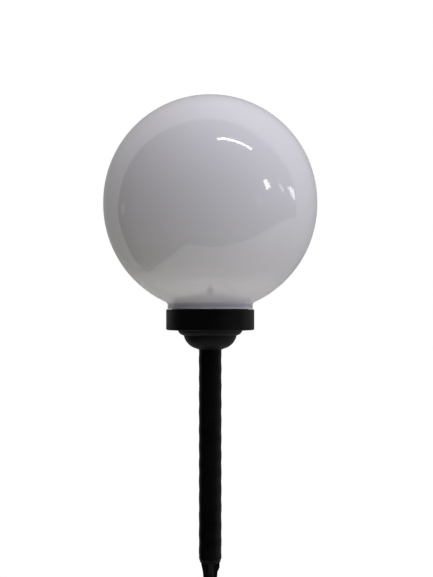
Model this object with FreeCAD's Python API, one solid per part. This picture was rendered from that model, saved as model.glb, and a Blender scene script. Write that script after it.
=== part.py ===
import FreeCAD, Part
import math
import os

# Solar garden globe light on a push-in pole. Millimetres, +Z up. The origin lies on the pole's
# axis at ground level, where the pole's foot stands on the spike's shoulder.

Vector = FreeCAD.Vector
up = Vector(0, 0, 1)
origin = Vector(0, 0, 0)

# ---- clearances ----
seat_gap = 0.05               # between flat faces that rest on each other
push_fit_gap = 0.10           # radial, pole in its socket and spike in the pole
lid_gap = 0.3                 # between the globe's shoulder and the collar's top face
loose_gap = 0.3               # round pieces that are simply dropped in

# ---- pole and spike ----
pole_diameter = 21.4
pole_wall = 2.1
pole_exposed = 197.9          # from the ground line to the cup
pole_foot_chamfer = 1.0
pole_end_reduction = 0.2      # radial, on the length that goes into the cup's socket
pole_shoulder_gap = 0.5       # from that step up to the cup
spike_length = 118.0          # below ground
spike_plug_length = 35.0
spike_flange_thickness = 2.2
spike_flange_diameter = 19.6
spike_rib_thickness = 3.2
spike_rib_half_width = 6.9
spike_tip_half_width = 0.8
spike_core_radius = 4.2
spike_gusset_depth = 9.2
spike_key_depth = 5.0
spike_gusset_reach = 8.9

# ---- cup under the collar ----
cup_height = 18.2
cup_top_radius = 30.6
cup_step_height = 5.0
cup_step_radius = 25.6
cup_step_bulge = 0.95         # of the step's flank, past a straight slope
cup_bowl_radius = 25.0
cup_waist_drop = 12.1         # the bowl's widest bulge point, below the collar
cup_waist_radius = 21.65
cup_lip_radius = 12.4
cup_wall = 2.2
socket_wall = 2.2

# ---- collar ring ----
collar_diameter = 83.0
collar_height = 19.5
collar_wall = 4.1
collar_floor = 2.0
collar_edge_round = 1.3
spigot_depth = 2.0
spigot_wall = 1.4

# ---- globe ----
globe_diameter = 200.0
globe_wall = 2.0
globe_centre_height = 99.0    # upper half's centre above the collar's top face
globe_band = 1.5              # straight band between the ball's two halves
neck_diameter = 80.2
neck_fillet = 3.5
skirt_wall = 2.0

# ---- screw thread between globe and collar ----
thread_pitch = 5.0
thread_turns = 1.25
thread_height = 1.1
thread_crest = 1.2
thread_root = 2.2
thread_radial_gap = 0.3
thread_flank_gap = 0.45
thread_start = 1.7            # first ridge's centre above the skirt's lower end
ridge_embed = 0.5

# ---- rubber seal under the globe ----
seal_thickness = 2.0
seal_housing_gap = 0.3        # radial, around the housing
seal_overhang = 0.1           # radial, beyond the skirt's outside

# ---- solar unit ----
housing_gap = 0.8             # radial, housing inside the globe's skirt
housing_wall = 1.8
housing_rise = 6.5            # housing's top above the collar's top face
flange_thickness = 2.5
deck_thickness = 1.8
dome_rim_height = 2.5
dome_rise = 6.0
dome_wall = 1.6
nub_height = 6.5
nub_taper = 1.0               # radial, from the nub's shoulder down to its foot
nub_wall = 0.8
panel_radius = 28.5
panel_thickness = 1.6
cell_thickness = 0.4
cell_width = 5.8
cell_spacing = 0.8
cell_reach_share = 0.9        # how far across the panel the cells go
cell_margin = 1.2
led_radius = 2.5
led_body_length = 7.6
led_flange_radius = 2.9
led_flange_thickness = 1.0
led_leg_pitch = 2.54
led_leg_radius = 0.25
spacer_bore_radius = 1.9

# ---- circuit board ----
board_width = 34.0
board_depth = 26.0
board_centre_y = 4.0
board_thickness = 1.6
board_drop = 2.5              # gap from the deck to the board's top
board_screw_x = 13.0
board_screw_y = 4.0
board_boss_radius = 2.2
chip_size = (5.2, 4.0, 1.5)
coil_radius = 2.6
coil_height = 2.1
resistor_size = (3.2, 1.6, 0.7)
resistor_row_share = 0.4      # of the board's depth, from its middle

# ---- battery, AA size ----
battery_radius = 7.25
battery_length = 49.2
battery_nub_radius = 2.75
battery_nub_length = 1.3
battery_centre_y = -3.0
holder_base = 1.0
holder_wall = 0.8
holder_end_wall = 1.0
holder_end_rise = 12.0
holder_side_share = 1 / 3     # of the end walls' rise
contact_thickness = 0.5
contact_width = 9.0
contact_rise = 13.0
spring_length = 3.0
spring_half_height = 3.6
spring_width = 5.0
spring_thickness = 0.3
spring_foot = 0.5

# ---- screws ----
housing_screw_circle = 23.5
housing_screw_angles = (30.0, 150.0, 270.0)
housing_boss_radius = 2.8
housing_screw_radius = 1.25
housing_screw_length = 10.0
housing_head_radius = 2.5
housing_head_height = 1.6
board_screw_radius = 0.9
board_screw_length = 3.4
board_head_radius = 1.8
board_head_height = 1.2
screw_gap = 0.1
cross_slot_width = 0.6
cross_slot_depth = 0.6
cross_slot_share = 0.6        # slot's length over the head's diameter
head_chamfer_share = 1 / 3    # of the head's height

# ---- slide switch ----
switch_travel = 3.0
switch_width = 8.6
switch_depth = 4.0
switch_height = 4.2
switch_drop = 2.7             # slider's centre below the deck's underside
switch_pad_half_width = 7.5
switch_pad_thickness = 1.5
switch_pad_recess = 1.5       # web set back from the housing's outside
switch_pocket_half_width = 5.5
switch_pocket_height = 4.4
slider_stem_width = 2.4
slider_stem_height = 1.6
slider_knob_width = 3.2
slider_knob_height = 3.2
slider_knob_depth = 1.1
slider_gap = 0.3

# ---- leads ----
lead_radius = 0.6
panel_lead_x = 9.0
panel_lead_y = 20.5
panel_lead_overlap = 2.5      # length lying on the board
battery_lead_overlap = 3.0
switch_lead_x = 2.4
lead_bend_share = 0.45

# ---- heights worked out from the sizes ----
pole_radius = pole_diameter / 2
pole_end_radius = pole_radius - pole_end_reduction
collar_radius = collar_diameter / 2
globe_radius = globe_diameter / 2
neck_radius = neck_diameter / 2
bore_radius = collar_radius - collar_wall
skirt_radius = bore_radius - thread_radial_gap - thread_height
skirt_bore = skirt_radius - skirt_wall
housing_radius = skirt_bore - housing_gap
housing_bore = housing_radius - housing_wall

cup_bottom = pole_exposed
collar_bottom = cup_bottom + cup_height
floor_top = collar_bottom + collar_floor
collar_top = collar_bottom + collar_height
flange_top = floor_top + flange_thickness
seal_bottom = flange_top + seat_gap
skirt_bottom = seal_bottom + seal_thickness + seat_gap
globe_centre = collar_top + globe_centre_height
housing_top = collar_top + housing_rise
deck_bottom = housing_top - deck_thickness
dome_rim_top = housing_top + dome_rim_height
dome_apex = dome_rim_top + dome_rise
nub_top = dome_apex + nub_height
nub_radius = led_radius + nub_wall + screw_gap
led_top = nub_top - nub_wall - loose_gap
led_flange_top = led_top - led_body_length
led_bottom = led_flange_top - led_flange_thickness
board_top = deck_bottom - board_drop
board_bottom = board_top - board_thickness
battery_centre_z = floor_top + seat_gap + holder_base + loose_gap + battery_radius
cell_room = battery_length + battery_nub_length + spring_length
holder_half_length = cell_room / 2 + contact_thickness + seat_gap
lead_height = board_top + lead_radius + seat_gap


# ---- helpers ----
def flat_face(path):
    """Face in the XZ plane. The path is a start point, then line ends (x, z) or arcs (middle, end)."""
    here = Vector(path[0][0], 0, path[0][1])
    first = here
    edges = []
    for step in path[1:]:
        if isinstance(step[0], tuple):
            middle = Vector(step[0][0], 0, step[0][1])
            there = Vector(step[1][0], 0, step[1][1])
            edges.append(Part.Arc(here, middle, there).toShape())
        else:
            there = Vector(step[0], 0, step[1])
            edges.append(Part.LineSegment(here, there).toShape())
        here = there
    if here.distanceToPoint(first) > 1e-7:
        edges.append(Part.LineSegment(here, first).toShape())
    return Part.Face(Part.Wire(edges))


def turned(path):
    """Solid of revolution about the Z axis."""
    return flat_face(path).revolve(origin, up, 360)


def box(low, high):
    """Box between two corners."""
    return Part.makeBox(high[0] - low[0], high[1] - low[1], high[2] - low[2], Vector(*low))


def rod(radius, low, high, x=0.0, y=0.0):
    """Upright cylinder between two heights."""
    return Part.makeCylinder(radius, high - low, Vector(x, y, low))


def arc_middle(centre, radius, start, end):
    """Point half way along an arc given by its centre, radius and two angles in degrees."""
    angle = math.radians((start + end) / 2)
    return (centre[0] + radius * math.cos(angle), centre[1] + radius * math.sin(angle))


def bulged(start, end, bulge):
    """Middle of a line in a profile, moved out to its right by the bulge."""
    across, rise = end[0] - start[0], end[1] - start[1]
    share = bulge / math.hypot(across, rise)
    return ((start[0] + end[0]) / 2 + rise * share, (start[1] + end[1]) / 2 - across * share)


def on_circle(radius, degrees):
    """X and Y of a point on a circle about the axis."""
    return radius * math.cos(math.radians(degrees)), radius * math.sin(math.radians(degrees))


def helical_ridge(root_radius, crest_radius, start_height):
    """Trapezoidal ridge along a right-hand helix about the Z axis."""
    half_root = thread_root / 2
    half_crest = thread_crest / 2
    profile = Part.makePolygon([
        Vector(root_radius, 0, -half_root), Vector(crest_radius, 0, -half_crest),
        Vector(crest_radius, 0, half_crest), Vector(root_radius, 0, half_root),
        Vector(root_radius, 0, -half_root)])
    spine = Part.Wire(Part.makeHelix(thread_pitch, thread_pitch * thread_turns, root_radius).Edges)
    ridge = spine.makePipeShell([profile], True, True)
    ridge.translate(Vector(0, 0, start_height))
    return ridge


def lead(points):
    """Insulated wire along straight runs joined by tangent arcs."""
    corners = [Vector(*p) for p in points]
    edges = []
    here = corners[0]
    radii = []
    for before, corner, after in zip(corners, corners[1:], corners[2:]):
        inward = (corner - before).normalize()
        outward = (after - corner).normalize()
        half_turn = inward.getAngle(outward) / 2
        shorter = min(before.distanceToPoint(corner), corner.distanceToPoint(after))
        setback = lead_bend_share * shorter
        radius = setback / math.tan(half_turn)
        radii.append(round(radius, 2))
        start = corner - inward * setback
        end = corner + outward * setback
        bulge = (outward - inward).normalize() * (radius / math.cos(half_turn) - radius)
        edges.append(Part.LineSegment(here, start).toShape())
        edges.append(Part.Arc(start, corner + bulge, end).toShape())
        here = end
    edges.append(Part.LineSegment(here, corners[-1]).toShape())
    path = Part.Wire(edges)
    section = Part.Wire(Part.makeCircle(lead_radius, corners[0], corners[1] - corners[0]))
    wire = path.makePipeShell([section], True, False)
    swept = math.pi * lead_radius ** 2 * path.Length
    print("lead: bend radii", radii, "volume share", round(wire.Volume / swept, 4))
    return wire


# ---- pole and spike ----
def pole_tube():
    low = seat_gap
    high = collar_bottom - seat_gap
    shoulder = cup_bottom - pole_shoulder_gap
    inner = pole_radius - pole_wall
    return turned([
        (inner, low), (pole_radius - pole_foot_chamfer, low), (pole_radius, low + pole_foot_chamfer),
        (pole_radius, shoulder), (pole_end_radius, shoulder), (pole_end_radius, high), (inner, high)])


def ground_spike():
    plug_radius = pole_radius - pole_wall - push_fit_gap
    flange = spike_flange_diameter / 2
    flange_low = -spike_flange_thickness
    ease = pole_foot_chamfer
    head = turned([
        (0, flange_low), (flange - ease, flange_low), (flange, flange_low + ease / 2), (flange, 0),
        (plug_radius, 0), (plug_radius, spike_plug_length - ease), (plug_radius - ease, spike_plug_length),
        (0, spike_plug_length)])
    gusset_low = flange_low - spike_gusset_depth
    key_low = flange_low - spike_key_depth
    ribs = [
        (-spike_gusset_reach, flange_low), (spike_gusset_reach, flange_low), (spike_gusset_reach, key_low),
        (spike_rib_half_width, gusset_low), (spike_tip_half_width, -spike_length),
        (-spike_tip_half_width, -spike_length), (-spike_rib_half_width, gusset_low)]
    plate = flat_face(ribs).extrude(Vector(0, spike_rib_thickness, 0))
    plate.translate(Vector(0, -spike_rib_thickness / 2, 0))
    crossing = plate.copy()
    crossing.rotate(origin, up, 90)
    core = Part.makeCone(
        spike_core_radius, spike_tip_half_width, spike_length + flange_low, Vector(0, 0, flange_low), -up)
    return head.fuse([plate, crossing, core]).removeSplitter()


# ---- cup and collar ----
def base_cup():
    step_low = collar_bottom - cup_step_height
    waist = collar_bottom - cup_waist_drop
    mouth = pole_end_radius + push_fit_gap
    tube = mouth + socket_wall
    spigot = cup_top_radius - cup_wall
    top = collar_bottom - seat_gap
    step_middle = bulged((cup_step_radius, step_low), (cup_top_radius, top), cup_step_bulge)
    lip = cup_bottom + pole_foot_chamfer / 2
    inner_step = collar_bottom - spigot_depth - push_fit_gap
    inner_floor = cup_bottom + cup_wall + pole_foot_chamfer
    return turned([
        (mouth, cup_bottom), (cup_lip_radius - pole_foot_chamfer / 2, cup_bottom), (cup_lip_radius, lip),
        ((cup_waist_radius, waist), (cup_bowl_radius, step_low)),
        (cup_step_radius, step_low), (step_middle, (cup_top_radius, top)),
        (spigot, top), (spigot, inner_step),
        (cup_bowl_radius - cup_wall, step_low),
        ((cup_waist_radius - cup_wall, waist + cup_wall / 2), (tube, inner_floor)),
        (tube, top), (mouth, top)])


def collar_ring():
    edge = collar_edge_round
    top_centre = (collar_radius - edge, collar_top - edge)
    low_centre = (collar_radius - edge, collar_bottom + edge)
    spigot = cup_top_radius - cup_wall - push_fit_gap
    spigot_bottom = collar_bottom - spigot_depth
    ring = turned([
        (0, collar_bottom), (spigot - spigot_wall, collar_bottom), (spigot - spigot_wall, spigot_bottom),
        (spigot, spigot_bottom), (spigot, collar_bottom), (collar_radius - edge, collar_bottom),
        (arc_middle(low_centre, edge, -90, 0), (collar_radius, collar_bottom + edge)),
        (collar_radius, collar_top - edge),
        (arc_middle(top_centre, edge, 0, 90), (collar_radius - edge, collar_top)),
        (bore_radius, collar_top), (bore_radius, floor_top), (0, floor_top)])
    ridge_start = skirt_bottom + thread_start + thread_flank_gap + thread_crest + ridge_rise()
    ridge = helical_ridge(bore_radius + ridge_embed, bore_radius - thread_height, ridge_start)
    hole_radius = housing_screw_radius + screw_gap
    holes = [rod(hole_radius, collar_bottom, floor_top, *on_circle(housing_screw_circle, angle))
             for angle in housing_screw_angles]
    return ring.fuse(ridge).cut(Part.makeCompound(holes))


def ridge_rise():
    """Axial length that the two ridges' sloping flanks take where they overlap."""
    slope = (thread_root - thread_crest) / 2 / thread_height
    return slope * (thread_height - thread_radial_gap)


# ---- globe and seal ----
def globe():
    blend_radius = neck_radius + neck_fillet
    reach = globe_radius + neck_fillet
    lower_centre = globe_centre - globe_band
    blend_centre = (blend_radius, lower_centre - math.sqrt(reach ** 2 - blend_radius ** 2))
    tilt = math.degrees(math.atan2(blend_centre[1] - lower_centre, blend_radius))
    inner_radius = globe_radius - globe_wall
    shoulder = collar_top + lid_gap
    neck_bore = neck_radius - globe_wall

    def on_ball(radius):
        angle = math.radians(tilt)
        return radius * math.cos(angle), lower_centre + radius * math.sin(angle)

    def lower_half(radius):
        return arc_middle((0, lower_centre), radius, tilt, 0)

    def upper_half(radius):
        return arc_middle((0, globe_centre), radius, 0, 90)

    bend_middle = arc_middle(blend_centre, neck_fillet, 180, 180 + tilt)
    inner_bend_middle = arc_middle(blend_centre, neck_fillet + globe_wall, 180, 180 + tilt)
    ball = turned([
        (skirt_bore, skirt_bottom), (skirt_radius, skirt_bottom), (skirt_radius, shoulder),
        (neck_radius, shoulder), (neck_radius, blend_centre[1]),
        (bend_middle, on_ball(globe_radius)),
        (lower_half(globe_radius), (globe_radius, lower_centre)), (globe_radius, globe_centre),
        (upper_half(globe_radius), (0, globe_centre + globe_radius)),
        (0, globe_centre + inner_radius),
        (upper_half(inner_radius), (inner_radius, globe_centre)), (inner_radius, lower_centre),
        (lower_half(inner_radius), on_ball(inner_radius)),
        (inner_bend_middle, (neck_bore, blend_centre[1])),
        (neck_bore, shoulder + globe_wall), (skirt_bore, shoulder + globe_wall)])
    ridge_start = skirt_bottom + thread_start
    ridge = helical_ridge(skirt_radius - ridge_embed, skirt_radius + thread_height, ridge_start)
    return ball.fuse(ridge)


def neck_seal():
    inner = housing_radius + seal_housing_gap
    outer = skirt_radius + seal_overhang
    high = seal_bottom + seal_thickness
    return turned([(inner, seal_bottom), (outer, seal_bottom), (outer, high), (inner, high)])


# ---- solar unit ----
def solar_housing():
    flange_radius = bore_radius - loose_gap
    low = floor_top + seat_gap
    shell = turned([
        (0, deck_bottom), (housing_bore, deck_bottom), (housing_bore, low), (flange_radius, low),
        (flange_radius, flange_top), (housing_radius, flange_top), (housing_radius, housing_top),
        (0, housing_top)])
    pad_front = housing_radius - switch_pad_recess
    pad_back = pad_front - switch_pad_thickness
    slider_z = deck_bottom - switch_drop
    pad_low = slider_z - switch_pocket_height / 2 - switch_pad_thickness
    pad = box((-switch_pad_half_width, pad_back, pad_low),
              (switch_pad_half_width, housing_radius, deck_bottom))
    pad = pad.common(rod(housing_radius, pad_low, deck_bottom))
    added = [pad]
    for angle in housing_screw_angles:
        added.append(rod(housing_boss_radius, low, deck_bottom, *on_circle(housing_screw_circle, angle)))
    for side in (-1, 1):
        added.append(rod(board_boss_radius, board_top + seat_gap, deck_bottom,
                         side * board_screw_x, board_screw_y))
    shell = shell.fuse(added)

    half_pocket = switch_pocket_height / 2
    cuts = [box((-switch_pocket_half_width, pad_front, slider_z - half_pocket),
                (switch_pocket_half_width, housing_radius + housing_wall, slider_z + half_pocket))]
    slot_half_width = (switch_travel + slider_stem_width) / 2 + slider_gap
    slot_half_height = slider_stem_height / 2 + slider_gap
    cuts.append(box((-slot_half_width, pad_back - housing_wall, slider_z - slot_half_height),
                    (slot_half_width, pad_front + housing_wall, slider_z + slot_half_height)))
    cuts.append(rod(spacer_bore_radius, deck_bottom, housing_top))
    for side in (-1, 1):
        cuts.append(rod(lead_radius + loose_gap, deck_bottom, housing_top,
                        side * panel_lead_x, panel_lead_y))
        cuts.append(rod(board_screw_radius + screw_gap / 2, board_top, deck_bottom + deck_thickness / 2,
                        side * board_screw_x, board_screw_y))
    for angle in housing_screw_angles:
        cuts.append(rod(housing_screw_radius + screw_gap / 2, low, floor_top + housing_screw_length,
                        *on_circle(housing_screw_circle, angle)))
    return shell.cut(Part.makeCompound(cuts))


def solar_panel():
    low = housing_top + seat_gap
    board = rod(panel_radius, low, low + panel_thickness)
    return board.cut(rod(led_flange_radius + loose_gap, low, low + panel_thickness))


def solar_cells():
    low = housing_top + 2 * seat_gap + panel_thickness
    first = led_flange_radius + loose_gap + cell_margin
    reach = panel_radius - cell_margin
    room = reach * cell_reach_share - first + cell_spacing
    cells_per_side = int(room / (cell_width + cell_spacing))
    strips = []
    for side in (-1, 1):
        for count in range(cells_per_side):
            near = first + count * (cell_width + cell_spacing)
            far = near + cell_width
            half_length = math.sqrt(reach ** 2 - far ** 2)
            strips.append(box((min(side * near, side * far), -half_length, low),
                              (max(side * near, side * far), half_length, low + cell_thickness)))
    return Part.makeCompound(strips)


def dome_cover():
    inner_rim = housing_radius - dome_wall
    low = housing_top + seat_gap
    cap_radius = (housing_radius ** 2 + dome_rise ** 2) / (2 * dome_rise)
    cap_centre = dome_apex - cap_radius
    inner_cap = cap_radius - dome_wall

    def cap_height(radius, distance):
        return cap_centre + math.sqrt(radius ** 2 - distance ** 2)

    nub_bore = nub_radius - nub_wall
    nub_foot = nub_radius + nub_taper
    half_outer = (housing_radius + nub_foot) / 2
    half_inner = (inner_rim + nub_bore) / 2
    nub_side = nub_top - nub_radius
    nub_arc = arc_middle((0, nub_side), nub_radius, 0, 90)
    nub_inner_arc = arc_middle((0, nub_side), nub_bore, 0, 90)
    return turned([
        (inner_rim, low), (housing_radius, low), (housing_radius, dome_rim_top),
        ((half_outer, cap_height(cap_radius, half_outer)),
         (nub_foot, cap_height(cap_radius, nub_foot))),
        (nub_radius, nub_side), (nub_arc, (0, nub_top)), (0, nub_side + nub_bore),
        (nub_inner_arc, (nub_bore, nub_side)), (nub_bore, cap_height(inner_cap, nub_bore)),
        ((half_inner, cap_height(inner_cap, half_inner)), (inner_rim, cap_height(inner_cap, inner_rim)))])


def led():
    shoulder = led_top - led_radius
    body = turned([
        (0, led_bottom), (led_flange_radius, led_bottom), (led_flange_radius, led_flange_top),
        (led_radius, led_flange_top), (led_radius, shoulder),
        (arc_middle((0, shoulder), led_radius, 0, 90), (0, led_top))])
    leg_top = led_bottom + led_flange_thickness / 2
    legs = [rod(led_leg_radius, board_bottom - loose_gap, leg_top, side * led_leg_pitch / 2)
            for side in (-1, 1)]
    return body.fuse(legs)


def led_spacer():
    low = housing_top + seat_gap
    high = led_bottom - seat_gap
    return turned([(spacer_bore_radius, low), (led_flange_radius, low), (led_flange_radius, high),
                   (spacer_bore_radius, high)])


# ---- circuit board ----
def circuit_board():
    half_width = board_width / 2
    half_depth = board_depth / 2
    board = box((-half_width, board_centre_y - half_depth, board_bottom),
                (half_width, board_centre_y + half_depth, board_top))
    holes = []
    for side in (-1, 1):
        holes.append(rod(led_leg_radius + screw_gap, board_bottom, board_top, side * led_leg_pitch / 2))
        holes.append(rod(board_screw_radius + screw_gap, board_bottom, board_top,
                         side * board_screw_x, board_screw_y))
    return board.cut(Part.makeCompound(holes))


def block_on_board(size, x, y):
    low = board_top + seat_gap
    return box((x - size[0] / 2, y - size[1] / 2, low), (x + size[0] / 2, y + size[1] / 2, low + size[2]))


def board_components():
    quarter = board_width / 4
    chip = block_on_board(chip_size, -quarter, board_centre_y + board_depth / 4)
    coil = rod(coil_radius, board_top + seat_gap, board_top + seat_gap + coil_height, quarter,
               board_centre_y + board_depth / 4)
    row = board_centre_y - board_depth * resistor_row_share
    resistors = [block_on_board(resistor_size, x, row) for x in (-quarter / 2, quarter / 2)]
    return Part.makeCompound([chip, coil] + resistors)


def screw(x, y, seat, length, radius, head_radius, head_height):
    """Cross-head screw driven upwards, its head's flat against the height given by seat."""
    low = seat - head_height
    body = turned([
        (0, low), (head_radius - head_height * head_chamfer_share, low),
        (head_radius, low + head_height / 2), (head_radius, seat),
        (radius, seat), (radius, seat + length - radius), (0, seat + length)])
    half = head_radius * cross_slot_share
    for angle in (0, 90):
        slot = box((-half, -cross_slot_width / 2, low),
                   (half, cross_slot_width / 2, low + cross_slot_depth))
        slot.rotate(origin, up, angle)
        body = body.cut(slot)
    body.translate(Vector(x, y, 0))
    return body


def housing_screws():
    seat = collar_bottom - seat_gap
    return Part.makeCompound([
        screw(*on_circle(housing_screw_circle, angle), seat, housing_screw_length, housing_screw_radius,
              housing_head_radius, housing_head_height)
        for angle in housing_screw_angles])


def board_screws():
    seat = board_bottom - seat_gap
    return Part.makeCompound([
        screw(side * board_screw_x, board_screw_y, seat, board_screw_length, board_screw_radius,
              board_head_radius, board_head_height)
        for side in (-1, 1)])


# ---- battery ----
def lying_rod(radius, start, end):
    """Cylinder along X on the battery's axis."""
    foot = Vector(start, battery_centre_y, battery_centre_z)
    return Part.makeCylinder(radius, end - start, foot, Vector(1, 0, 0))


def battery():
    plus_end = holder_half_length - contact_thickness - seat_gap
    body_end = plus_end - battery_nub_length
    can = lying_rod(battery_radius, body_end - battery_length, body_end)
    return can.fuse(lying_rod(battery_nub_radius, body_end, plus_end))


def battery_holder():
    low = floor_top + seat_gap
    half_width = battery_radius + loose_gap + holder_wall
    outer = holder_half_length + holder_end_wall
    shell = box((-outer, battery_centre_y - half_width, low),
                (outer, battery_centre_y + half_width, low + holder_end_rise))
    inner_half = half_width - holder_wall
    room = box((-holder_half_length, battery_centre_y - inner_half, low + holder_base),
               (holder_half_length, battery_centre_y + inner_half, low + holder_end_rise))
    side_rise = holder_base + holder_end_rise * holder_side_share
    low_sides = box((-holder_half_length, battery_centre_y - half_width, low + side_rise),
                    (holder_half_length, battery_centre_y + half_width, low + holder_end_rise))
    return shell.cut(room).cut(low_sides)


def contact(side):
    low = floor_top + holder_base + 2 * seat_gap
    outer = side * (holder_half_length - seat_gap)
    inner = side * (holder_half_length - contact_thickness)
    half = contact_width / 2
    return box((min(outer, inner), battery_centre_y - half, low),
               (max(outer, inner), battery_centre_y + half, low + contact_rise))


def battery_spring():
    """Bowed leaf between the minus plate and the cell."""
    foot = -holder_half_length + contact_thickness + seat_gap
    tip = foot + spring_length - 2 * seat_gap
    low = battery_centre_z - spring_half_height
    high = battery_centre_z + spring_half_height
    bow = flat_face([
        (foot, low), ((tip, battery_centre_z), (foot, high)), (foot, high - spring_foot),
        ((tip - spring_thickness, battery_centre_z), (foot, low + spring_foot))])
    leaf = bow.extrude(Vector(0, spring_width, 0))
    leaf.translate(Vector(0, battery_centre_y - spring_width / 2, 0))
    return leaf


# ---- switch ----
def switch_front():
    """Y of the switch body's front face, behind the housing's pad."""
    return housing_radius - switch_pad_recess - switch_pad_thickness - seat_gap


def switch_body():
    slider_z = deck_bottom - switch_drop
    front = switch_front()
    return box((-switch_width / 2, front - switch_depth, slider_z - switch_height / 2),
               (switch_width / 2, front, slider_z + switch_height / 2))


def switch_slider():
    slider_z = deck_bottom - switch_drop
    centre = -switch_travel / 2
    pad_front = housing_radius - switch_pad_recess
    knob_back = pad_front + seat_gap
    knob_front = knob_back + slider_knob_depth
    stem_front = knob_back + slider_knob_depth / 2
    half_stem = slider_stem_width / 2
    half_stem_height = slider_stem_height / 2
    half_knob = slider_knob_width / 2
    half_knob_height = slider_knob_height / 2
    stem = box((centre - half_stem, switch_front() + seat_gap, slider_z - half_stem_height),
               (centre + half_stem, stem_front, slider_z + half_stem_height))
    knob = box((centre - half_knob, knob_back, slider_z - half_knob_height),
               (centre + half_knob, knob_front, slider_z + half_knob_height))
    return stem.fuse(knob).removeSplitter()


# ---- leads ----
def battery_lead(side):
    x = side * (holder_half_length - contact_thickness / 2)
    low = floor_top + holder_base + contact_rise + 3 * seat_gap
    end = side * (board_width / 2 - battery_lead_overlap)
    return lead([(x, battery_centre_y, low), (x, battery_centre_y, lead_height),
                 (end, battery_centre_y, lead_height)])


def panel_lead(side):
    x = side * panel_lead_x
    end = board_centre_y + board_depth / 2 - panel_lead_overlap
    return lead([(x, panel_lead_y, housing_top), (x, panel_lead_y, lead_height), (x, end, lead_height)])


def switch_leads():
    start = switch_front() - switch_depth - seat_gap
    end = board_centre_y + board_depth / 2 - panel_lead_overlap
    feet = [Vector(side * switch_lead_x, end, lead_height) for side in (-1, 1)]
    return Part.makeCompound([
        Part.makeCylinder(lead_radius, start - end, foot, Vector(0, 1, 0)) for foot in feet])


nodes = {
    "ground_spike": ground_spike,
    "pole_tube": pole_tube,
    "base_cup": base_cup,
    "collar_ring": collar_ring,
    "globe": globe,
    "neck_seal": neck_seal,
    "solar_housing": solar_housing,
    "solar_panel": solar_panel,
    "solar_cells": solar_cells,
    "dome_cover": dome_cover,
    "led": led,
    "led_spacer": led_spacer,
    "circuit_board": circuit_board,
    "board_components": board_components,
    "housing_screws": housing_screws,
    "board_screws": board_screws,
    "battery": battery,
    "battery_holder": battery_holder,
    "battery_plate": lambda: contact(1),
    "battery_spring_plate": lambda: contact(-1),
    "battery_spring": battery_spring,
    "switch_body": switch_body,
    "switch_slider": switch_slider,
    "battery_lead_red": lambda: battery_lead(1),
    "battery_lead_black": lambda: battery_lead(-1),
    "panel_lead_red": lambda: panel_lead(1),
    "panel_lead_black": lambda: panel_lead(-1),
    "switch_leads": switch_leads,
}

os.makedirs("parts", exist_ok=True)
for name, make in nodes.items():
    shape = make()
    print(name, shape.isValid(), len(shape.Solids), round(shape.Volume, 1))
    shape.exportStep("parts/" + name + ".step")
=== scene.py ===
import math

import bmesh
import bpy
import numpy as np
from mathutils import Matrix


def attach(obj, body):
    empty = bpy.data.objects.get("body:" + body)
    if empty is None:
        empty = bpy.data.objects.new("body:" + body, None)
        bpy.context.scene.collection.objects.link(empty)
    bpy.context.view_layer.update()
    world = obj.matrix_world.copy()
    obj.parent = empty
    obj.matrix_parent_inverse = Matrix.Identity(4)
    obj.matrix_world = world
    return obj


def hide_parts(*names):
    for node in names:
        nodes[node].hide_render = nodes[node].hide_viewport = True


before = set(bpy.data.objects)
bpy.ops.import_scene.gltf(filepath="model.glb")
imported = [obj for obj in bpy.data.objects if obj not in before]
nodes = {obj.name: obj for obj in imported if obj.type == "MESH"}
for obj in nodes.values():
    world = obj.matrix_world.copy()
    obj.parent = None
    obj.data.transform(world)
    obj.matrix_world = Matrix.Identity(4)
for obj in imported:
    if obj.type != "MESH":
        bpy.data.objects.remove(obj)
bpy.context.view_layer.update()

scene = bpy.context.scene
scene.view_settings.view_transform = "Standard"


# ---- camera ----
# A camera level with the globe's neck, three quarters of a metre in front of the pole, as in the
# photograph. The picture is 433 by 577 pixels. The pole stands a little left of its middle, and the
# neck a little below it.
picture_height = 577
focal_pixels = 796.0
sensor_size = 36.0
axis_left_of_middle = 6.3
eye_below_middle = 20.7
eye = (0.0, -0.750, 0.2356)
nearest_seen = 0.01

camera_data = bpy.data.cameras.new("camera")
camera_data.sensor_width = sensor_size
camera_data.lens = focal_pixels * sensor_size / picture_height
camera_data.shift_x = axis_left_of_middle / picture_height
camera_data.shift_y = eye_below_middle / picture_height
camera_data.clip_start = nearest_seen
camera = bpy.data.objects.new("camera", camera_data)
camera.location = eye
camera.rotation_euler = (math.radians(90), 0, 0)
scene.collection.objects.link(camera)
scene.camera = camera


# ---- studio light ----
# The room lights the object with four broad soft lights: the ceiling, the floor, the right side, and
# a bright part of the room up on the right. The camera sees the room as white, and glossy surfaces
# see it dimmer behind the object.
ceiling_light = (1.37, 1.31, 1.27)
ceiling_power = 1.5
floor_light = (1.29, 1.27, 1.17)
floor_power = 2.0
side_light = (0.35, 0.33, 0.33)
side_power = 1.0
bright_side_light = (1.35, 1.39, 1.68)
bright_side_power = 2.0
bright_side = (0.60, -0.40, 0.70)
mirrored_front = 0.95
mirrored_back = 0.36
dimming_start = -0.2
dimming_end = 0.8
plain_white = (1, 1, 1, 1)

world = bpy.data.worlds.new("studio")
scene.world = world
world.use_nodes = True
world.cycles.sampling_method = "NONE"
tree = world.node_tree
tree.nodes.clear()


def node(tree, kind, inputs=(), **settings):
    """Adds a shader node. Inputs are (socket, value or the output to link); settings are its
    properties."""
    made = tree.nodes.new(kind)
    for key, value in settings.items():
        setattr(made, key, value)
    for socket, value in inputs:
        if isinstance(value, bpy.types.NodeSocket):
            tree.links.new(value, made.inputs[socket])
        else:
            made.inputs[socket].default_value = value
    return made


def maths(tree, operation, a, b=0.0, c=0.0):
    """One arithmetic step on numbers or outputs."""
    return node(tree, "ShaderNodeMath", [(0, a), (1, b), (2, c)], operation=operation).outputs[0]


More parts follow.
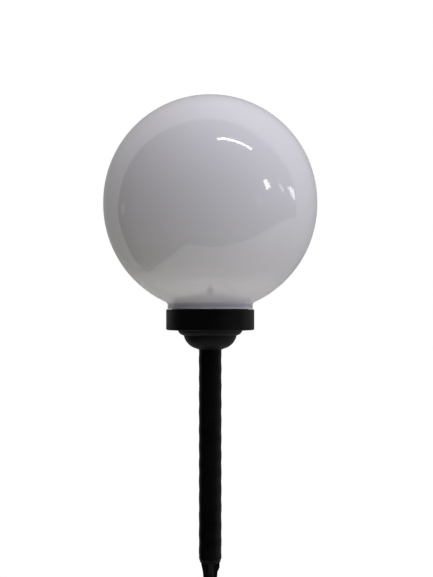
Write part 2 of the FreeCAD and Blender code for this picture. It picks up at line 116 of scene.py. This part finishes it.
def between(tree, factor, first, second):
    """A colour between two, by a factor from 0 to 1."""
    return node(tree, "ShaderNodeMix", [("Factor", factor), ("A", first), ("B", second)],
                data_type="RGBA").outputs[2]


def spread(tree, value, low, high, start, end):
    """The value's range from low to high, mapped to start and end."""
    return node(tree, "ShaderNodeMapRange", [
        (0, value), (1, low), (2, high), (3, start), (4, end)]).outputs[0]


direction = node(tree, "ShaderNodeTexCoord").outputs["Generated"]
depth = node(tree, "ShaderNodeSeparateXYZ", [(0, direction)]).outputs[1]
level = (0.0, 0.0, 0.0)
# Each light falls off as the cosine from its middle, to its own power.
for colour, way, power in (
        (ceiling_light, (0, 0, 1), ceiling_power), (floor_light, (0, 0, -1), floor_power),
        (side_light, (1, 0, 0), side_power), (bright_side_light, bright_side, bright_side_power)):
    facing = node(tree, "ShaderNodeVectorMath", [(0, direction), (1, way)],
                  operation="DOT_PRODUCT").outputs["Value"]
    amount = maths(tree, "POWER", maths(tree, "MAXIMUM", facing), power)
    level = node(tree, "ShaderNodeVectorMath", [(0, colour), (1, amount), (2, level)],
                 operation="MULTIPLY_ADD").outputs[0]
room = node(tree, "ShaderNodeBackground", [("Color", level), ("Strength", 1.0)])
mirrored = node(tree, "ShaderNodeBackground", [
    ("Color", plain_white),
    ("Strength", spread(tree, depth, dimming_start, dimming_end, mirrored_front, mirrored_back))])
white = node(tree, "ShaderNodeBackground", [("Color", plain_white), ("Strength", 1.0)])
path = node(tree, "ShaderNodeLightPath").outputs
glossy = node(tree, "ShaderNodeMixShader", [
    (0, path["Is Glossy Ray"]), (1, room.outputs[0]), (2, mirrored.outputs[0])])
seen = node(tree, "ShaderNodeMixShader", [
    (0, maths(tree, "MAXIMUM", path["Is Camera Ray"], path["Is Transmission Ray"])),
    (1, glossy.outputs[0]), (2, white.outputs[0])])
node(tree, "ShaderNodeOutputWorld", [("Surface", seen.outputs[0])])


# ---- floor and reflected room ----
# A pale floor at the spike's tip, and cards that only glossy surfaces see: the dark room in front of
# the object, with a lamp and a few bright things in it. Each card lies on a sphere about the globe.
floor_size = 12.0
floor_height = -0.1181
floor_patch = 3.0
floor_dark = (0.79, 0.79, 0.79, 1)
floor_pale = (0.82, 0.82, 0.82, 1)
globe_centre = np.array([0.0, 0.0, 0.3346])
room_distance = 2.2
lamp_distance = 2.1


def add_mesh(name, vertices, faces):
    """A mesh object at the origin from an array of points and a list of faces."""
    mesh = bpy.data.meshes.new(name)
    mesh.from_pydata(vertices.tolist(), [], faces)
    mesh.update()
    made = bpy.data.objects.new(name, mesh)
    scene.collection.objects.link(made)
    return made


def new_material(name):
    """An empty node material and its tree."""
    material = bpy.data.materials.new(name)
    material.use_nodes = True
    material.node_tree.nodes.clear()
    return material, material.node_tree


half_floor = floor_size / 2
floor = add_mesh("floor", np.array([
    [-half_floor, -half_floor, floor_height], [half_floor, -half_floor, floor_height],
    [half_floor, half_floor, floor_height], [-half_floor, half_floor, floor_height]]), [(0, 1, 2, 3)])
floor_material, tree = new_material("pale_floor")
floor_place = node(tree, "ShaderNodeTexCoord").outputs["Object"]
floor_noise = node(tree, "ShaderNodeTexNoise", [
    ("Vector", floor_place), ("Scale", floor_patch), ("Detail", 2.0)])
floor_colour = between(tree, floor_noise.outputs[0], floor_dark, floor_pale)
floor_shader = node(tree, "ShaderNodeBsdfDiffuse", [("Color", floor_colour)])
node(tree, "ShaderNodeOutputMaterial", [("Surface", floor_shader.outputs[0])])
floor.data.materials.append(floor_material)
floor.visible_diffuse = False
floor.visible_glossy = False
floor.visible_transmission = False


def towards(corners):
    """Unit vectors for directions given as degrees to the right of the camera's side and degrees above
    level: (sin a cos b, -cos a cos b, sin b)."""
    turn, rise = np.radians(np.array(corners, float)).T
    return np.stack([np.sin(turn) * np.cos(rise), -np.cos(turn) * np.cos(rise), np.sin(rise)], axis=1)


def card(name, middle, corners, distance, colour, steps=24):
    """A card on the sphere about the globe. Its points run out from the middle direction to each corner
    along a great circle: cos(t) times the middle plus sin(t) times the way across."""
    middle, ways = towards([middle])[0], towards(corners)
    across = ways - (ways @ middle)[:, None] * middle
    across /= np.linalg.norm(across, axis=1)[:, None]
    turn = (np.linspace(0, 1, steps + 1)[1:, None, None]
            * np.arccos(np.clip(ways @ middle, -1, 1))[:, None])
    rings = np.cos(turn) * middle + np.sin(turn) * across
    points = np.concatenate([middle[None], rings.reshape(-1, 3)]) * distance + globe_centre
    count = len(ways)
    around = np.arange(count)
    after = (around + 1) % count
    fans = np.stack([0 * around, 1 + around, 1 + after], axis=1)
    rows = (np.arange(steps - 1) * count)[:, None] + 1
    quads = np.stack([rows + around, rows + count + around, rows + count + after, rows + after], axis=2)
    made = add_mesh(name, points, fans.tolist() + quads.reshape(-1, 4).tolist())
    material, tree = new_material(name)
    glow = node(tree, "ShaderNodeEmission", [("Color", (*colour, 1)), ("Strength", 1.0)])
    node(tree, "ShaderNodeOutputMaterial", [("Surface", glow.outputs[0])])
    made.data.materials.append(material)
    made.visible_camera = False
    made.visible_diffuse = False
    made.visible_transmission = False
    made.visible_shadow = False


card("room_in_front", (0, 10), [
    (-111.9, -2.9), (-110.5, 1.0), (-108.8, 5.4), (-107.2, 9.2), (-105.6, 15.2), (-104.0, 22.2),
    (-103.2, 29.9), (-100.6, 37.0), (-97.9, 45.0), (-94.9, 53.0), (-91.3, 60.4), (-87.2, 69.7),
    (-78.5, 77.7), (-44.6, 85.2), (53.9, 83.8), (74.7, 77.0), (78.7, 68.2), (81.7, 58.9), (84.6, 48.6),
    (89.1, 38.8), (91.6, 29.0), (95.6, 18.7), (97.2, 12.0), (98.5, 5.8), (100.9, -6.4), (90.1, -9.6),
    (79.8, -13.7), (69.6, -21.4), (62.1, -27.6), (52.1, -34.0), (40.7, -40.5), (25.2, -46.2),
    (10.3, -48.7), (-6.6, -48.7), (-18.9, -46.8), (-33.2, -43.8), (-48.5, -48.1), (-67.2, -50.5),
    (-88.8, -50.0), (-110.5, -45.2), (-125.3, -39.2), (-124.1, -34.2), (-122.5, -30.1),
    (-118.1, -23.5), (-114.8, -17.6), (-112.9, -10.5)], room_distance, (0.0, 0.0, 0.0))
card("lamp_tube", (34, 57.2), [
    (11.5, 60.8), (23.7, 61.2), (34.7, 58.9), (45.4, 54.2), (56.4, 46.2), (54.6, 44.8), (45.1, 51.6),
    (33.4, 56.2), (23.0, 58.6), (13.1, 58.9)], lamp_distance, (26.0, 26.0, 26.0))
card("window_left", (60, 12), [
    (56.0, 16.3), (60.2, 17.1), (63.0, 10.3), (58.3, 9.3)], lamp_distance, (22.0, 22.0, 22.0))
card("window_middle", (77, 11), [
    (74.2, 13.9), (76.3, 14.4), (80.6, 8.8), (78.7, 7.9)], lamp_distance, (4.5, 4.5, 4.7))
card("window_right", (92, 9), [
    (86.3, 11.7), (91.2, 12.8), (95.6, 10.0), (96.9, 4.0), (92.2, 6.0)], lamp_distance, (6.5, 6.5, 6.5))
card("far_lamp", (6, -13), [
    (4.3, -11.6), (7.3, -11.6), (7.4, -15.0), (4.4, -15.0)], lamp_distance, (1.2, 1.2, 1.2))
card("far_wall", (50, 0), [
    (47.0, 4.1), (51.4, 4.4), (52.4, -4.4), (48.0, -4.8)], lamp_distance, (0.7, 0.7, 0.7))
card("near_table", (39, -32), [
    (35.0, -30.8), (40.9, -30.0), (43.7, -33.5), (37.6, -34.4)], lamp_distance, (0.7, 0.7, 0.7))
card("side_wall", (-102, -1), [
    (-103.6, 3.1), (-98.4, 2.5), (-100.3, -4.5), (-105.5, -3.5)], lamp_distance, (0.5, 0.5, 0.5))


# ---- ground spike ----
# The moulded black spike under the pole: a flange, a plug that goes up into the pole, and cross ribs
# that taper to the tip. It keeps its CAD shape and gets a fine-grained satin moulding.
noise_low = 0.3
noise_high = 0.7


def moulded(name, dark, light, patch=60.0, grain=900.0, grain_depth=0.00004, shine=(0.35, 0.5),
            gloss=0.1):
    """Moulded plastic on Object coordinates. A soft noise moves the colour between dark and light, and
    the roughness between the two shine values; a fine noise gives the mould's grain as a bump."""
    material, tree = new_material(name)
    place = node(tree, "ShaderNodeTexCoord").outputs["Object"]
    cloud = node(tree, "ShaderNodeTexNoise", [
        ("Vector", place), ("Scale", patch), ("Detail", 4.0)]).outputs[0]
    fine = node(tree, "ShaderNodeTexNoise", [
        ("Vector", place), ("Scale", grain), ("Detail", 2.0)]).outputs[0]
    bump = node(tree, "ShaderNodeBump", [
        ("Strength", 0.5), ("Distance", grain_depth), ("Height", fine)]).outputs[0]
    shader = node(tree, "ShaderNodeBsdfPrincipled", [
        ("Base Color", between(tree, cloud, (*dark, 1), (*light, 1))),
        ("Roughness", spread(tree, cloud, noise_low, noise_high, *shine)),
        ("Normal", bump), ("Specular IOR Level", gloss)])
    node(tree, "ShaderNodeOutputMaterial", [("Surface", shader.outputs[0])])
    return material


def dress(material, *names):
    """Gives a material to CAD nodes that are shown as they are."""
    for name in names:
        nodes[name].material_slots[0].material = material


dress(moulded("spike_plastic", (0.003, 0.003, 0.003), (0.006, 0.006, 0.0056)), "ground_spike")


# ---- pole ----
# An extruded black plastic tube. The draw leaves a shallow spiral wave in its wall, one wave in 16 mm.
# Its foot is chamfered, and its upper end is a little slimmer where it goes into the cup.
pole_radius = 0.01066
pole_bore = 0.0086
pole_end_radius = 0.0105
pole_foot = 0.00005
pole_shoulder = 0.1974
pole_top = 0.21605
pole_chamfer = 0.001
chamfer_middle_in = 0.0004
chamfer_middle_up = 0.0003
wave_height = 0.00014
wave_length = 0.0163
wave_ease = 0.004
shaft_rows = 200
pole_columns = 96
merge_distance = 1e-7
sharp_edge = 35


def ring_mesh(name, grid):
    """A mesh from a grid of points that closes on itself both ways. Points on the axis are merged, and
    the faces are turned outwards."""
    rows, columns = grid.shape[:2]
    row, column = np.meshgrid(np.arange(rows), np.arange(columns), indexing="ij")
    below, beside = (row + 1) % rows, (column + 1) % columns
    faces = np.stack([row * columns + column, row * columns + beside, below * columns + beside,
                      below * columns + column], axis=2).reshape(-1, 4)
    made = add_mesh(name, grid.reshape(-1, 3), faces.tolist())
    shape = bmesh.new()
    shape.from_mesh(made.data)
    bmesh.ops.remove_doubles(shape, verts=shape.verts, dist=merge_distance)
    bmesh.ops.recalc_face_normals(shape, faces=shape.faces)
    shape.to_mesh(made.data)
    shape.free()
    made.data.polygons.foreach_set("use_smooth", np.ones(len(made.data.polygons), bool))
    made.data.set_sharp_from_angle(angle=math.radians(sharp_edge))
    return made


foot_rise = np.array([[pole_bore, pole_foot], [pole_radius - pole_chamfer, pole_foot],
                      [pole_radius - chamfer_middle_in, pole_foot + chamfer_middle_up],
                      [pole_radius, pole_foot + pole_chamfer]])
shaft = np.linspace(pole_foot + pole_chamfer, pole_shoulder, shaft_rows)[1:]
shaft = np.stack([np.full_like(shaft, pole_radius), shaft], axis=1)
pole_end = np.array([[pole_end_radius, pole_shoulder], [pole_end_radius, pole_top],
                     [pole_bore, pole_top]])
pole_profile = np.concatenate([foot_rise, shaft, pole_end])
turn = np.linspace(0, 2 * np.pi, pole_columns, endpoint=False)
radius, height = pole_profile[:, 0][:, None], pole_profile[:, 1][:, None]
on_shaft = (np.clip((height - pole_foot - pole_chamfer) / wave_ease, 0, 1)
            * np.clip((pole_shoulder - height) / wave_ease, 0, 1))
waved = radius + wave_height * on_shaft * np.cos(turn - 2 * np.pi * height / wave_length)
pole = ring_mesh("pole", np.stack([
    waved * np.cos(turn), waved * np.sin(turn), height + 0 * turn], axis=2))
pole.data.materials.append(moulded(
    "pole_plastic", (0.0008, 0.0009, 0.0008), (0.0032, 0.0034, 0.003), patch=35.0,
    grain_depth=0.00002, shine=(0.32, 0.45), gloss=0.08))
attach(pole, "pole")
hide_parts("pole_tube")


# ---- cup and collar ----
# Two black mouldings. The stepped cup carries the socket for the pole, and the collar above it has
# the floor for the solar unit and the thread for the globe. Both keep their CAD shapes.
dress(moulded("cup_plastic", (0.0018, 0.0021, 0.0018), (0.0045, 0.005, 0.0045), patch=50.0,
              shine=(0.45, 0.6)), "base_cup")
dress(moulded("collar_plastic", (0.0012, 0.0013, 0.0012), (0.0035, 0.0038, 0.0034), patch=45.0),
      "collar_ring")


# ---- neck seal ----
# A soft rubber ring between the globe's foot and the solar unit's flange. It keeps its CAD shape and
# gets a dull rubber with a finer grain than the plastics.
dress(moulded("seal_rubber", (0.03, 0.03, 0.03), (0.06, 0.06, 0.06), grain=1500.0, shine=(0.6, 0.8)),
      "neck_seal")


# ---- solar unit ----
# The black housing that drops into the collar, with the round panel and its six strips of silicon on
# top, under a clear dome whose peak holds the lamp. All of it keeps its CAD shapes.
dress(moulded("housing_plastic", (0.008, 0.008, 0.011), (0.016, 0.016, 0.022)), "solar_housing")
dress(moulded("panel_board", (0.03, 0.035, 0.08), (0.05, 0.06, 0.12), shine=(0.3, 0.4)), "solar_panel")


def silicon(name, colour, line_colour, line_spacing=0.0026, line_share=0.07, grain=260.0,
            grain_lift=1.6, line_dulling=0.2, shine=0.15):
    """Dark blue silicon with a grain in its blue, and thin silver collector lines across it: there is a
    line where the fraction of x over the spacing is below the line's share."""
    material, tree = new_material(name)
    place = node(tree, "ShaderNodeTexCoord").outputs["Object"]
    grains = node(tree, "ShaderNodeTexVoronoi", [
        ("Vector", place), ("Scale", grain)]).outputs["Distance"]
    blue = between(tree, grains, (*colour, 1), (*[c * grain_lift for c in colour], 1))
    along = node(tree, "ShaderNodeSeparateXYZ", [(0, place)]).outputs[0]
    line = maths(tree, "LESS_THAN", maths(tree, "FRACT", maths(tree, "DIVIDE", along, line_spacing)),
                 line_share)
    bump = node(tree, "ShaderNodeBump", [
        ("Strength", 0.3), ("Distance", 0.00002), ("Height", line)]).outputs[0]
    shader = node(tree, "ShaderNodeBsdfPrincipled", [
        ("Base Color", between(tree, line, blue, (*line_colour, 1))),
        ("Roughness", maths(tree, "MULTIPLY_ADD", line, line_dulling, shine)), ("Normal", bump)])
    node(tree, "ShaderNodeOutputMaterial", [("Surface", shader.outputs[0])])
    return material


dress(silicon("solar_cell", (0.02, 0.03, 0.12), (0.55, 0.56, 0.6)), "solar_cells")


def clear_moulding(name, colour, faced, edged, shine=(0.06, 0.12), patch=80.0, dark_share=0.94,
                   edge_power=7.0):
    """Clear moulded plastic: an even tint with a faint flow pattern in its gloss. Its alpha is the
    faced value where it faces the eye, and rises to the edged value where it is seen edge on, by the
    facing weight to a power."""
    material, tree = new_material(name)
    place = node(tree, "ShaderNodeTexCoord").outputs["Object"]
    cloud = node(tree, "ShaderNodeTexNoise", [
        ("Vector", place), ("Scale", patch), ("Detail", 3.0)]).outputs[0]
    bump = node(tree, "ShaderNodeBump", [
        ("Strength", 0.2), ("Distance", 0.00005), ("Height", cloud)]).outputs[0]
    edge = maths(tree, "POWER", node(tree, "ShaderNodeLayerWeight", [
        ("Blend", 0.5)]).outputs["Facing"], edge_power)
    shader = node(tree, "ShaderNodeBsdfPrincipled", [
        ("Base Color", between(tree, cloud, (*[c * dark_share for c in colour], 1), (*colour, 1))),
        ("Roughness", spread(tree, cloud, noise_low, noise_high, *shine)), ("Normal", bump),
        ("Alpha", spread(tree, edge, 0.0, 1.0, faced, edged))])
    node(tree, "ShaderNodeOutputMaterial", [("Surface", shader.outputs[0])])
    return material


dress(clear_moulding("clear_plastic", (0.12, 0.12, 0.13), 0.28, 0.95), "dome_cover")
dress(clear_moulding("led_resin", (0.8, 0.78, 0.7), 0.9, 0.95), "led")
dress(moulded("white_plastic", (0.7, 0.7, 0.69), (0.8, 0.8, 0.79)), "led_spacer", "switch_slider")


# ---- circuit board ----
# The green board under the panel, with its chip, coil and resistors, held by two screws. The switch's
# body and the housing's screws are dressed with it, and all of them keep their CAD shapes.
dress(moulded("green_board", (0.02, 0.12, 0.05), (0.04, 0.2, 0.08), patch=300.0, shine=(0.25, 0.4)),
      "circuit_board")
dress(moulded("component_black", (0.02, 0.02, 0.02), (0.05, 0.05, 0.05)), "board_components")
dress(moulded("switch_black", (0.02, 0.02, 0.02), (0.04, 0.04, 0.04)), "switch_body")


def metal(name, dark, light, shine=(0.25, 0.4), scratch=(400.0, 60.0, 60.0)):
    """Plated steel. A noise stretched by the scratch scales along X, Y and Z moves colour, roughness
    and bump."""
    material, tree = new_material(name)
    place = node(tree, "ShaderNodeTexCoord").outputs["Object"]
    stretched = node(tree, "ShaderNodeMapping", [("Vector", place), ("Scale", scratch)]).outputs[0]
    streaks = node(tree, "ShaderNodeTexNoise", [
        ("Vector", stretched), ("Scale", 4.0), ("Detail", 3.0)]).outputs[0]
    bump = node(tree, "ShaderNodeBump", [
        ("Strength", 0.2), ("Distance", 0.00002), ("Height", streaks)]).outputs[0]
    shader = node(tree, "ShaderNodeBsdfPrincipled", [
        ("Base Color", between(tree, streaks, (*dark, 1), (*light, 1))),
        ("Roughness", spread(tree, streaks, noise_low, noise_high, *shine)),
        ("Normal", bump), ("Metallic", 1.0)])
    node(tree, "ShaderNodeOutputMaterial", [("Surface", shader.outputs[0])])
    return material


dress(metal("screw_steel", (0.5, 0.5, 0.5), (0.66, 0.66, 0.65)), "board_screws", "housing_screws")


# ---- battery ----
# One AA cell in a green sleeve, lying in a black holder, with a plate at its plus end and a leaf
# spring on a plate at its minus end. All of it keeps its CAD shapes.
dress(moulded("battery_sleeve", (0.05, 0.25, 0.1), (0.07, 0.32, 0.13), patch=120.0, shine=(0.2, 0.3),
              gloss=0.5), "battery")
dress(moulded("holder_plastic", (0.02, 0.02, 0.02), (0.035, 0.035, 0.035)), "battery_holder")
dress(metal("contact_steel", (0.58, 0.57, 0.54), (0.72, 0.71, 0.68), scratch=(60.0, 60.0, 400.0)),
      "battery_plate", "battery_spring_plate", "battery_spring")


# ---- leads ----
# Thin insulated wires: red from the plus side and the switch, black from the minus side. They keep
# their CAD shapes.
dress(moulded("lead_red", (0.42, 0.02, 0.02), (0.55, 0.03, 0.03), patch=200.0, shine=(0.3, 0.4),
              gloss=0.5), "battery_lead_red", "panel_lead_red", "switch_leads")
dress(moulded("lead_black", (0.015, 0.015, 0.015), (0.03, 0.03, 0.03), patch=200.0, shine=(0.3, 0.4),
              gloss=0.5), "battery_lead_black", "panel_lead_black")


# ---- globe ----
# A blown ball of glossy opal plastic with a short neck, a shoulder that covers the collar's edge and a
# skirt with one screw thread. The wall lets a little light through, most where it is stretched thin
# round the neck.
ball_radius = 0.100
ball_wall = 0.002
upper_centre = 0.3346
lower_centre = 0.3331
neck_radius = 0.0401
neck_blend = 0.0035
shoulder_height = 0.2359
shoulder_round = 0.0005
skirt_radius = 0.036
skirt_bore = 0.034
skirt_foot = 0.2227
outer_top_ring = 89.2
inner_top_ring = 88.5
globe_columns = 160
thread_pitch = 0.005
thread_turns = 1.25
thread_middle = 0.2244
thread_height = 0.0011
thread_root = 0.0022
thread_crest = 0.0012
thread_embed = 0.0005
thread_rows = 121
ramp_foot = 0.2346
ramp_top = 0.2946
# Across the neck the colour passes from the left tone to the right tone between these X values: painted
# light on the left, painted shade towards +X.
painted_shade_start_x = -0.035
painted_shade_full_x = 0.01
left_neck_painted_light = (0.80, 0.78, 0.81)
right_neck_painted_shade = (0.66, 0.64, 0.73)
opal_dark = (0.485, 0.480, 0.488, 1)
opal_light = (0.515, 0.508, 0.520, 1)
opal_shine = (0.05, 0.08)
opal_cloud = 16.0
opal_ripple = 9.0
ripple_depth = 0.0002


def arc(centre, radius, start, end, steps):
    """Points (r, z) on an arc: the centre plus radius times (cos, sin) of angles from start to end, in
    degrees."""
    angle = np.radians(np.linspace(start, end, steps))
    return np.stack([centre[0] + radius * np.cos(angle), centre[1] + radius * np.sin(angle)], axis=1)


def turned_surface(name, profile, columns):
    """A closed surface of revolution: every point (r, z) of the profile goes round the axis as
    (r cos a, r sin a, z), and the last point of the profile joins the first."""
    turn = np.linspace(0, 2 * np.pi, columns, endpoint=False)
    radius, height = profile[:, 0][:, None], profile[:, 1][:, None]
    grid = np.stack([radius * np.cos(turn), radius * np.sin(turn), height + 0 * turn], axis=2)
    return ring_mesh(name, grid)


blend_radius = neck_radius + neck_blend
blend_height = lower_centre - math.sqrt((ball_radius + neck_blend) ** 2 - blend_radius ** 2)
blend_tilt = math.degrees(math.atan2(blend_height - lower_centre, blend_radius))
inner_radius = ball_radius - ball_wall
neck_bore = neck_radius - ball_wall
outside = np.concatenate([
    [[0.0, upper_centre + ball_radius]],
    arc((0, upper_centre), ball_radius, outer_top_ring, 0, steps=72),
    arc((0, lower_centre), ball_radius, 0, blend_tilt, steps=56),
    arc((blend_radius, blend_height), neck_blend, 180 + blend_tilt, 180, steps=9)[1:],
    arc((neck_radius - shoulder_round, shoulder_height + shoulder_round), shoulder_round, 0, -90,
        steps=5),
    [[skirt_radius, shoulder_height], [skirt_radius, skirt_foot]]])
inside = np.concatenate([
    [[skirt_bore, skirt_foot], [skirt_bore, shoulder_height + ball_wall],
     [neck_bore, shoulder_height + ball_wall]],
    arc((blend_radius, blend_height), neck_blend + ball_wall, 180, 180 + blend_tilt, steps=7),
    arc((0, lower_centre), inner_radius, blend_tilt, 0, steps=30)[1:],
    arc((0, upper_centre), inner_radius, 0, inner_top_ring, steps=36),
    [[0.0, upper_centre + inner_radius]]])
globe = turned_surface("opal_globe", np.concatenate([outside, inside]), globe_columns)


def helical_ridge(name, root, crest, middle):
    """A closed trapezoid ridge on a right-hand helix: its section at angle a is lifted by the pitch
    times a over a full turn. The two ends are flat faces."""
    section = np.array([[root, -thread_root / 2], [crest, -thread_crest / 2],
                        [crest, thread_crest / 2], [root, thread_root / 2]])
    turn = np.linspace(0, 2 * np.pi * thread_turns, thread_rows)[:, None]
    radius, height = section[:, 0], section[:, 1] + middle + thread_pitch * turn / (2 * np.pi)
    grid = np.stack([radius * np.cos(turn), radius * np.sin(turn), height], axis=2)
    rows, columns = grid.shape[:2]
    row, column = np.meshgrid(np.arange(rows - 1), np.arange(columns), indexing="ij")
    beside = (column + 1) % columns
    faces = np.stack([row * columns + column, (row + 1) * columns + column,
                      (row + 1) * columns + beside, row * columns + beside],
                     axis=2).reshape(-1, 4).tolist()
    ends = [(0, 1, 2, 3), tuple((rows - 1) * columns + c for c in (3, 2, 1, 0))]
    return add_mesh(name, grid.reshape(-1, 3), faces + ends)


thread = helical_ridge("opal_thread", skirt_radius - thread_embed, skirt_radius + thread_height,
                       thread_middle)


def opal(name):
    """Glossy opal plastic on Object coordinates. The colour is a pale lavender grey with soft clouds.
    Colour and alpha follow the height: the thin neck shows the black housing through it, the wall above
    it lets a little be seen, and the ball is solid higher up. The shoulder at the foot is painted a
    little brighter as a painted highlight. Across the neck the colour is painted lighter on the left
    and darker towards +X, as painted light and shade."""
    material, tree = new_material(name)
    place = node(tree, "ShaderNodeTexCoord").outputs["Object"]
    cloud = node(tree, "ShaderNodeTexNoise", [
        ("Vector", place), ("Scale", opal_cloud), ("Detail", 3.0)]).outputs[0]
    ripple = node(tree, "ShaderNodeTexNoise", [
        ("Vector", place), ("Scale", opal_ripple), ("Detail", 1.0)]).outputs[0]
    bump = node(tree, "ShaderNodeBump", [
        ("Strength", 0.3), ("Distance", ripple_depth), ("Height", ripple)]).outputs[0]
    across, _, upwards = node(tree, "ShaderNodeSeparateXYZ", [(0, place)]).outputs
    high = spread(tree, upwards, ramp_foot, ramp_top, 0.0, 1.0)

    def by_height(stops):
        """A ramp over the 60 mm above the collar, from (share, red, green, blue) stops."""
        made = node(tree, "ShaderNodeValToRGB", [(0, high)])
        ramp = made.color_ramp
        for _ in stops[2:]:
            ramp.elements.new(0.5)
        for element, (share, *colour) in zip(ramp.elements, stops):
            element.position = share
            element.color = (*colour, 1)
        return made.outputs[0]

    # The wall's tone by height: the shoulder at the foot is painted 10 % brighter as a painted
    # highlight, then comes the darker neck, painted lighter on the left and darker on the right as
    # painted light and shade.
    left_wall_painted_light, right_wall_painted_shade = [by_height([
        (0.0, 1.1, 1.1, 1.1), (0.027, 1.1, 1.1, 1.1), (0.045, *neck), (0.095, *neck), (0.13, 1, 1, 1),
        (1.0, 1, 1, 1)]) for neck in (left_neck_painted_light, right_neck_painted_shade)]
    wall = between(tree, spread(tree, across, painted_shade_start_x, painted_shade_full_x, 0.0, 1.0), left_wall_painted_light,
                   right_wall_painted_shade)
    solid = by_height([
        (0.0, 1, 1, 1), (0.03, 1, 1, 1), (0.05, 0.8, 0.8, 0.8), (0.095, 0.8, 0.8, 0.8),
        (0.13, 0.74, 0.74, 0.74), (0.36, 0.74, 0.74, 0.74), (0.7, 0.93, 0.93, 0.93), (1.0, 1, 1, 1)])
    clouded = between(tree, cloud, opal_dark, opal_light)
    colour = node(tree, "ShaderNodeMix", [("Factor", 1.0), ("A", clouded), ("B", wall)],
                  data_type="RGBA", blend_type="MULTIPLY").outputs[2]
    shader = node(tree, "ShaderNodeBsdfPrincipled", [
        ("Base Color", colour), ("Roughness", spread(tree, cloud, noise_low, noise_high, *opal_shine)),
        ("Normal", bump), ("Alpha", solid)])
    node(tree, "ShaderNodeOutputMaterial", [("Surface", shader.outputs[0])])
    return material


opal_plastic = opal("opal_plastic")
for piece in (globe, thread):
    piece.data.materials.append(opal_plastic)
    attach(piece, "globe")
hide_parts("globe")

# The light that the opal wall lets into the ball, which shows the dome through the wall.
inner_light_power = 0.8
inner_light_radius = 0.04
inner_light_data = bpy.data.lights.new("light_inside", "POINT")
inner_light_data.energy = inner_light_power
inner_light_data.shadow_soft_size = inner_light_radius
inner_light = bpy.data.objects.new("light_inside", inner_light_data)
inner_light.location = (0, 0, upper_centre)
scene.collection.objects.link(inner_light)
